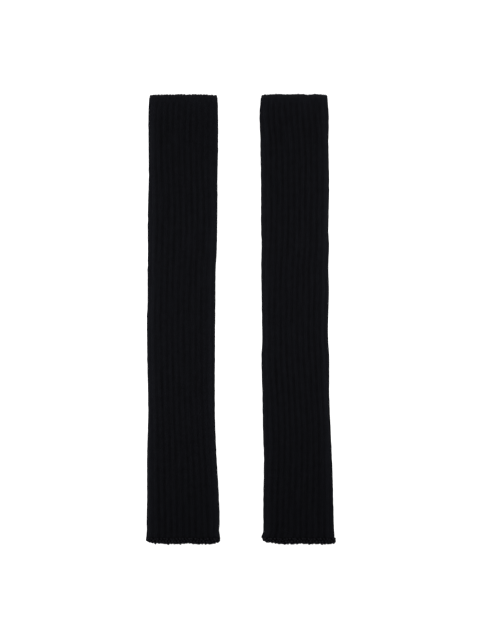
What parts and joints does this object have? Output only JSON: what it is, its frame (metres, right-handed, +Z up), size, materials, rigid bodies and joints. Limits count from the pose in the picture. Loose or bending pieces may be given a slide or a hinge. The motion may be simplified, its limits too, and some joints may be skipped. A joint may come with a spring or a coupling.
{
  "type": "pair of arm warmers",
  "caption": "Long straight rib-knit tubes for the arms, open at both ends with plain knitted edges, laid flat side by side.",
  "frame": {"origin": "on the ground, under the middle of the box round both warmers", "axes": "+Z up from the ground, +Y along the warmers from the cast-on edges to the bound-off edges, +X to the right as seen from above"},
  "size_m": [0.2419, 0.5764, 0.007],
  "materials": {
    "rib_knit": "matt black wool-blend yarn knitted in wide rib",
    "bound_off_edge": "matt black yarn, thin chained bound-off edge",
    "cast_on_edge": "matt black yarn, beady cast-on edge"
  },
  "bodies": {
    "root": {"left_rib_tube": "rib_knit", "left_top_edge": "bound_off_edge", "left_bottom_edge": "cast_on_edge", "right_rib_tube": "rib_knit", "right_top_edge": "bound_off_edge", "right_bottom_edge": "cast_on_edge"}
  },
  "joints": []
}
